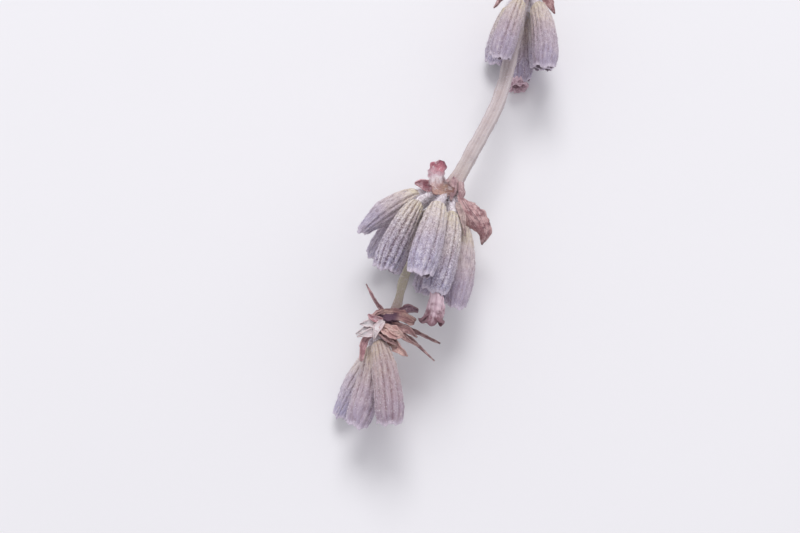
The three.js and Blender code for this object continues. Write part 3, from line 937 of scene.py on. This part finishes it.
def neck_wool(whorl, rng):
    """Long white hairs on the stem between the stalks of one whorl."""
    node, axis, side, up = whorl_frame(whorl)
    along = rng.uniform(*NECK_REACH, (NECK_HAIRS, 1))
    turn = rng.uniform(0, 2 * math.pi, (NECK_HAIRS, 1))
    out = np.cos(turn) * side + np.sin(turn) * up
    roots = node + along * axis + NECK_RADIUS * out
    return hairs(roots, out, axis, NECK_HAIR, rng, scale=0.6 + 0.4 * along[:, 0])


# Withered leaves. Each is its spine, its half widths along it, the way its hollow side faces,
# how far it is rolled up across and twisted along, in degrees, and its tones, pale to dark.

TONES = {
    "rose": ((240, 204, 212), (204, 136, 148), (148, 98, 110)),
    "brown": ((216, 178, 178), (162, 116, 120), (98, 66, 76)),
    "clasp": ((206, 174, 176), (172, 134, 140), (126, 94, 102)),
    "rust": ((226, 190, 186), (190, 146, 146), (120, 86, 96)),
    "orange": ((244, 212, 202), (218, 174, 168), (152, 108, 114)),
    # The shade tone is painted shade, for leaf backs that lie in shadow
    "shade": ((150, 118, 132), (118, 88, 106), (84, 60, 76)),
    "paper": ((255, 250, 252), (240, 226, 230), (196, 162, 168)),
    "beige": ((222, 200, 194), (186, 160, 158), (132, 108, 110)),
    "pink": ((222, 180, 184), (180, 130, 138), (120, 82, 92)),
}
BRACTS = {
    "bract_mid_hood": ([(0.11, -0.25, 5.16), (-0.65, -0.4, 5.3), (-1.08, 0.05, 5.5), (-1.18, 1.15, 5.85)],
        (0.4, 0.54, 0.76, 0.76, 0.46), (-0.2, -0.5, 1), 50, 0, "hood"),
    "bract_mid_left": ([(-1.25, -0.28, 4.68), (-1.7, -0.5, 4.85), (-2.35, -0.85, 5.03)],
        (0.35, 0.5, 0.45, 0.2), (0, -0.3, 1), 75, 0, "rose"),
    "bract_mid_right": ([(0.99, -0.37, 4.78), (1.7, -0.74, 4.8), (2.75, -1.2, 4.5), (3.4, -1.75, 4.0),
        (3.55, -2.45, 3.45)],
        (0.45, 0.85, 0.9, 0.62, 0.08), (-0.4, -0.4, -1), 38, 10, "brown"),
    "bract_tip_back": ([(-0.8, -10.4, 4.5), (-0.12, -9.95, 4.62), (0.8, -9.7, 4.5), (1.7, -9.6, 4.2)],
        (0.3, 0.46, 0.62, 0.5), (-0.2, -0.6, 1), 66, 0, "cup"),
    "bract_tip_front": ([(-0.05, -11.05, 4.8), (0.45, -11.3, 5.0), (1.0, -11.15, 4.95), (1.4, -10.8, 4.7)],
        (0.25, 0.38, 0.36, 0.2), (0, 0.5, 1), 70, 20, "orange"),
    "bract_tip_orange": ([(0.8, -11.35, 4.1), (1.45, -11.7, 4.5), (2.3, -12.05, 4.7)],
        (0.4, 0.45, 0.05), (-0.3, -0.3, 1), 60, 0, "orange"),
    "bract_top_left": ([(-2.45, 17.1, 4.1), (-2.85, 16.1, 4.5), (-3.0, 14.6, 4.6)],
        (0.35, 0.45, 0.12), (1, 0, 0.6), 60, 0, "brown"),
    "bract_top_right": ([(-0.95, 17.7, 4.75), (0.1, 17.1, 5.0), (1.3, 15.9, 4.8)],
        (0.35, 0.5, 0.12), (-0.3, -0.3, -1), 60, 0, "brown"),
}
SHREDS = {
    "bracteole_mid": ([(1.08, -1.14, 5.2), (1.74, -2.03, 5.43), (2.42, -2.98, 5.2)],
        (0.22, 0.3, 0.04), (0.2, 0.3, 1), 70, 20, "beige"),
    "shred_tip_1": ([(0.65, -10.55, 3.95), (1.6, -10.9, 4.3), (2.8, -11.0, 4.2)],
        (0.2, 0.26, 0.03), (0.2, 0.3, 1), 90, 60, "rust"),
    "shred_tip_2": ([(0.8, -10.1, 3.75), (2.1, -10.15, 3.85), (3.8, -10.05, 3.4)],
        (0.2, 0.24, 0.03), (0.2, 0.3, 1), 110, 40, "brown"),
    "shred_tip_3": ([(0.75, -10.5, 3.45), (2.3, -10.9, 3.8), (3.95, -11.3, 3.4)],
        (0.2, 0.24, 0.03), (0.2, 0.3, 1), 110, -40, "brown"),
    "shred_tip_4": ([(-0.55, -9.8, 3.85), (-1.4, -9.35, 3.85), (-2.5, -8.4, 3.4)],
        (0.16, 0.18, 0.02), (0.2, 0.3, 1), 110, 50, "pink"),
    "shred_tip_5": ([(-0.54, -11.3, 4.36), (-1.0, -11.55, 4.44), (-1.5, -12.0, 4.2)],
        (0.22, 0.28, 0.05), (0.2, 0.3, 1), 60, 0, "paper"),
    "strap_tip": ([(-0.6, -11.75, 4.3), (-0.7, -12.5, 4.4), (-0.35, -13.6, 4.5)],
        (0.22, 0.28, 0.16), (0.2, 0.3, 1), 50, 0, "pink"),
}

# Small scales round the nodes, torn at their ends, between the larger bracts and the stalks
SCALES = {
    "scale_mid_1": ([(0.5, 0.85, 4.45), (0.85, 0.1, 4.7), (1.0, -0.75, 4.95)],
        (0.26, 0.36, 0.1), (0.6, 0.1, 1), -45, 0, "clasp"),
    "scale_mid_2": ([(-0.05, 0.75, 4.62), (0.25, -0.1, 4.95), (0.45, -1.0, 5.1)],
        (0.24, 0.3, 0.08), (0.2, 0.1, 1), -45, 0, "clasp"),
    "scale_mid_3": ([(-0.55, 0.45, 4.5), (-0.75, -0.3, 4.8), (-0.95, -1.0, 4.85)],
        (0.25, 0.34, 0.12), (-0.6, 0, 1), -60, 0, "clasp"),
    # These two scales wear the shade tone: dark sheets of painted shade in the tip whorl
    "scale_tip_hollow": ([(-0.45, -10.75, 4.45), (0.25, -10.42, 4.2), (1.0, -10.2, 4.05)],
        (0.3, 0.6, 0.3), (0, -0.3, 1), 75, 0, "shade"),
    "scale_tip_outer": ([(0.45, -9.45, 4.1), (1.05, -9.1, 4.4), (1.65, -8.95, 4.4)],
        (0.3, 0.42, 0.3), (0, 0.3, 1), 60, 0, "shade"),
    "scale_tip_knob": ([(-0.95, -10.7, 4.5), (-0.8, -10.3, 4.85), (-0.4, -10.0, 4.85)],
        (0.22, 0.3, 0.12), (0.5, -0.5, 1), 130, 0, "rust"),
    "scale_tip_paper_1": ([(-0.15, -11.1, 4.6), (-0.65, -11.75, 4.75), (-1.3, -12.2, 4.5)],
        (0.24, 0.36, 0.04), (0.2, 0.2, 1), 50, 20, "paper"),
    "scale_tip_paper_2": ([(-0.4, -10.8, 4.6), (-0.95, -11.15, 4.8), (-1.5, -11.35, 4.5)],
        (0.22, 0.32, 0.04), (0.2, 0.2, 1), 60, -20, "paper"),
    "scale_tip_paper_3": ([(-0.2, -10.75, 4.75), (-0.25, -11.3, 5.0), (-0.15, -12.0, 4.9)],
        (0.22, 0.34, 0.05), (0, 0, 1), 70, 10, "paper"),
    "scale_tip_front_1": ([(-0.05, -11.45, 4.8), (0.55, -11.72, 5.0), (1.35, -11.65, 4.75)],
        (0.2, 0.32, 0.08), (0, 0.4, 1), 80, -20, "rust"),
    "scale_tip_front_2": ([(0.15, -10.8, 4.65), (0.9, -10.95, 4.95), (1.7, -11.0, 4.6)],
        (0.22, 0.34, 0.08), (0, 0.4, 1), 70, 30, "orange"),
    "scale_tip_pink": ([(-0.45, -10.6, 4.65), (-0.85, -10.72, 4.9), (-1.25, -10.6, 4.8)],
        (0.2, 0.3, 0.08), (0, -0.3, 1), 80, 30, "rose"),
    "scale_tip_side": ([(0.6, -10.4, 4.2), (1.5, -10.4, 4.5), (2.3, -10.5, 4.2)],
        (0.22, 0.36, 0.04), (0, 0, 1), 80, 40, "rust"),
    "scale_top_1": ([(-1.95, 17.9, 4.4), (-1.75, 17.0, 4.75), (-1.6, 16.1, 4.7)],
        (0.3, 0.42, 0.12), (-0.2, 0, 1), -60, 0, "brown"),
    "scale_top_2": ([(-1.1, 17.9, 4.1), (-0.75, 17.2, 4.3), (-0.4, 16.4, 4.4)],
        (0.25, 0.36, 0.12), (0.5, 0, 1), -60, 0, "brown"),
}
# Each kind of leaf with the start of its random draws and its slot
LEAF_KINDS = ((BRACTS, 300, "bract"), (SHREDS, 400, "shred"), (SCALES, 500, "bract"))

# Withered corollas: the spine and radii of the tube, how far its lobes reach, and how burnt it is, which
# also sets how strong the painted shade inside the tube is
COROLLAS = {
    "corolla_mid": ([(2.03, -6.62, 5.78), (2.24, -7.4, 5.82), (2.5, -8.05, 5.72), (2.72, -8.75, 5.42)],
        (0.38, 0.42, 0.5, 0.6), 0.75, 1.0),
    "corolla_top": ([(0.16, 12.92, 0.88), (0.33, 12.4, 0.86), (0.56, 11.9, 0.84), (0.72, 11.6, 0.83)],
        (0.36, 0.46, 0.58, 0.6), 0.4, 0.2),
}


def leaf(spine, widths, face, roll, twist, seed):
    """A thin veined leaf, rolled up across and twisted along, with torn edges.
    Gives rings of points round it, and the places along of its rows and across of its columns."""
    rng = np.random.default_rng(seed)
    centres = spline(spine, LEAF_ROWS)
    share = np.linspace(0, 1, LEAF_ROWS)
    normal, side = across(tangents_of(centres), np.array(face, float))
    sway = LEAF_SWAY * np.sin(5 * share + rng.uniform(*ANY_ANGLE))
    turn = (math.radians(twist) * share + sway)[:, None]
    normal, side = (np.cos(turn) * normal + np.sin(turn) * side,
                    np.cos(turn) * side - np.sin(turn) * normal)
    width = np.interp(share, np.linspace(0, 1, len(widths)), widths)
    width = width * np.sqrt(1 - 0.92 * smoothstep(share, *LEAF_END) ** 2)
    width = width * (0.6 + 0.4 * smoothstep(share, *LEAF_BASE))
    centres, normal, side, width = centres[:, None], normal[:, None], side[:, None], width[:, None]
    half = np.linspace(-1, 1, LEAF_COLUMNS)
    waves = 0.2 * np.sin(7 * share + rng.uniform(*ANY_ANGLE))
    curl = math.radians(roll) * (0.75 + 0.45 * share + waves)
    edges = rng.uniform(*EDGE_CURL, 2) * rng.choice((-1, 1), 2)
    edge_curl = np.where(half < 0, -edges[0], edges[1]) * np.abs(half) ** 4
    angle = curl[:, None] * half + edge_curl * smoothstep(share, 0.1, 0.6)[:, None]
    middle = LEAF_COLUMNS // 2
    step = 2 / (LEAF_COLUMNS - 1)
    reach = np.cumsum(np.cos(angle), axis=1) * step
    lift = np.cumsum(np.sin(angle), axis=1) * step
    reach -= reach[:, middle:middle + 1]
    lift -= lift[:, middle:middle + 1]
    flat = centres + (width * half)[..., None] * side
    spread = width * (1 + half ** 2 * lumps(flat, LEAF_TEARS, seed))
    outward = normal * np.cos(angle)[..., None] - side * np.sin(angle)[..., None]
    sheet = centres + (spread * reach)[..., None] * side
    sheet = sheet + (spread * lift)[..., None] * normal
    veins = VEIN_HEIGHT * np.cos(LEAF_VEINS * math.pi * half) * smoothstep(share, 0.0, 0.2)[:, None]
    folds = width * lumps(sheet, LEAF_FOLDS, seed)
    sheet = sheet + (veins + folds * (0.3 + 0.7 * np.abs(half)))[..., None] * outward
    thick = LEAF_THICKNESS / 2 * (1 - 0.6 * np.abs(half) ** 4)
    upper = sheet + thick[:, None] * outward
    lower = sheet - thick[:, None] * outward
    rings = np.concatenate([upper, lower[:, ::-1]], axis=1)
    return rings, share[:, None], np.concatenate([half, half[::-1]])


def make_leaf(name, form, seed, materials, slot, replaces):
    spine, widths, face, roll, twist, tone = form
    spine = np.array(spine, float)
    spine[0] -= ROOT_SINK * unit(spine[1] - spine[0])
    rings, along, side = leaf(spine, widths, face, roll, twist, seed)
    lofted(name + "_leaf", rings, materials[tone], slot, replaces, along=along, across=side)


def make_leaves(materials):
    for forms, seed, slot in LEAF_KINDS:
        for k, (name, form) in enumerate(forms.items()):
            replaces = [] if forms is SCALES else [name]
            make_leaf(name, form, seed + k, materials, slot, replaces)


def petal_tube(spine, radii, seed):
    """A crumpled tube, folded in at its end and back down inside it, with its marks and its rim."""
    centres = spline(spine, PETAL_ROWS)
    ahead = tangents_of(centres)
    first, second = across(ahead, UP)
    angles = ring_angles(PETAL_COLUMNS)
    share = np.linspace(0, 1, PETAL_ROWS)
    radius = np.interp(share, np.linspace(0, 1, len(radii)), radii)[:, None]
    crumple = 0.05 * np.cos(7 * angles + 4 * share[:, None])
    radius = radius * (1 + 0.07 * np.cos(PETAL_LOBES * angles + 1) + crumple)
    back = np.linspace(0, 1, PETAL_INNER_ROWS)
    inward = np.interp(1 - 0.5 * back, share, np.arange(PETAL_ROWS)).round().astype(int)
    order = np.concatenate([np.arange(PETAL_ROWS), inward])
    wall = np.concatenate([np.zeros(PETAL_ROWS), 0.05 + 0.1 * back])
    out = round_about(first, second, angles)[order]
    rings = centres[order][:, None] + (radius[order] - wall[:, None])[..., None] * out
    rings = rings + lumps(rings, PETAL_LUMPS, seed)[..., None] * out
    # The inner rows, back down inside the tube, get painted shade
    inside = np.arange(len(order))[:, None] >= PETAL_ROWS
    marks = grid_marks(rings, along=0.6 * share[order][:, None], inside=inside,
                       across=np.abs(angles / math.pi - 1))
    return rings, marks, (centres[-1], ahead[-1], first[-1], second[-1], radii[-1])


def petal_lobe(rim, angle, reach, seed):
    """One lobe, rooted inside the tube's end and curled outwards."""
    rng = np.random.default_rng(seed)
    end, ahead, first, second, radius = rim
    out = math.cos(angle) * first + math.sin(angle) * second
    foot = end + 0.92 * radius * out
    bend = rng.uniform(0.6, 1.3)
    spine = [foot - 0.25 * ahead, foot + 0.1 * ahead]
    for onward, outward in ((0.4, 0.1), (0.72, 0.32), (0.8, 0.62)):
        spine.append(foot + (onward * ahead + outward * bend * out) * reach)
    widths = np.array(PETAL_LOBE_WIDTHS) * radius
    rings, along, side = leaf(spine, widths, -out, rng.uniform(50, 80), rng.uniform(-30, 30), seed)
    return rings, grid_marks(rings, along=0.5 + 0.5 * along, across=side, inside=0.0)


def make_corollas(material):
    """Withered corollas, each a tube whose end splits into curled lobes."""
    for k, (name, (spine, radii, reach, burnt)) in enumerate(COROLLAS.items()):
        tube, marks, rim = petal_tube(spine, radii, TUBE_SEED + k)
        shapes = [(tube, marks)]
        for lobe in range(PETAL_LOBES):
            angle = 2 * math.pi * (lobe + 0.3) / PETAL_LOBES
            shapes.append(petal_lobe(rim, angle, reach, LOBE_SEED + 10 * k + lobe))
        points, faces = joined(*(loft(rings) for rings, _ in shapes))
        together = {mark: np.concatenate([part[mark] for _, part in shapes]) for mark in marks}
        together["burnt"] = np.full(len(points), burnt)
        piece(name + "_petal", points, faces, material, [name], together)


# Floor, lights and camera

def direction_at(azimuth, elevation):
    """The direction in which a camera or a light stands. Azimuth 0 is in front, at -Y."""
    turn, rise = math.radians(azimuth), math.radians(elevation)
    level = math.cos(rise)
    return Vector((math.sin(turn) * level, -math.cos(turn) * level, math.sin(rise)))


def stand(name, data, place, away):
    """Puts a camera or a light at a place in metres, away from what it is turned to."""
    made = bpy.data.objects.new(name, data)
    made.location = place
    made.rotation_mode = "QUATERNION"
    made.rotation_quaternion = away.to_track_quat("Z", "Y")
    scene.collection.objects.link(made)
    return made


def make_stage():
    surface = Surface("floor_paper", roughness=0.9, specular=0.1)
    material = surface.finish(surface.mix(surface.noise(40.0), (238, 237, 240), (242, 241, 244)))
    bpy.ops.mesh.primitive_plane_add(size=FLOOR_SIZE, location=(0, 0, 0))
    floor = bpy.context.object
    floor.name = "floor"
    floor.data.materials.append(material)
    world = bpy.data.worlds.new("studio")
    world.use_nodes = True
    background = world.node_tree.nodes["Background"]
    background.inputs["Color"].default_value = STUDIO_COLOUR
    background.inputs["Strength"].default_value = STUDIO_STRENGTH
    scene.world = world


def make_light():
    light = bpy.data.lights.new("key", "AREA")
    light.shape = "DISK"
    light.size = KEY_SIZE
    light.energy = KEY_POWER
    away = direction_at(KEY_AZIMUTH, KEY_ELEVATION)
    middle = (Vector(STEM_ROUTE[4]) - Vector(LAYOUT_ORIGIN)) * MM
    stand("key", light, middle + away * KEY_DISTANCE, away)


def make_camera():
    data = bpy.data.cameras.new("camera")
    data.lens = LENS
    data.sensor_width = SENSOR
    data.clip_start = 0.001
    data.clip_end = 10
    place = Vector((CAMERA_PLACE - LAYOUT_ORIGIN) * MM)
    scene.camera = stand("camera", data, place, direction_at(CAMERA_AZIMUTH, CAMERA_ELEVATION))


make_camera()
make_stage()
make_light()
scene.view_settings.view_transform = "Standard"

felt = calyx_material()
down = down_material()
gland = gland_material()
calyces = all_calyces()
make_stem(stem_material(), down)
make_stalks(calyces, stalk_material(), down)
for calyx in calyces:
    make_calyx(calyx, felt)
    make_down(calyx, down, gland)

leaf_materials = {tone: bract_material("leaf_" + tone, *colours) for tone, colours in TONES.items()}
leaf_materials["hood"] = hood_material()
leaf_materials["cup"] = cup_material()
make_leaves(leaf_materials)
make_corollas(corolla_material())
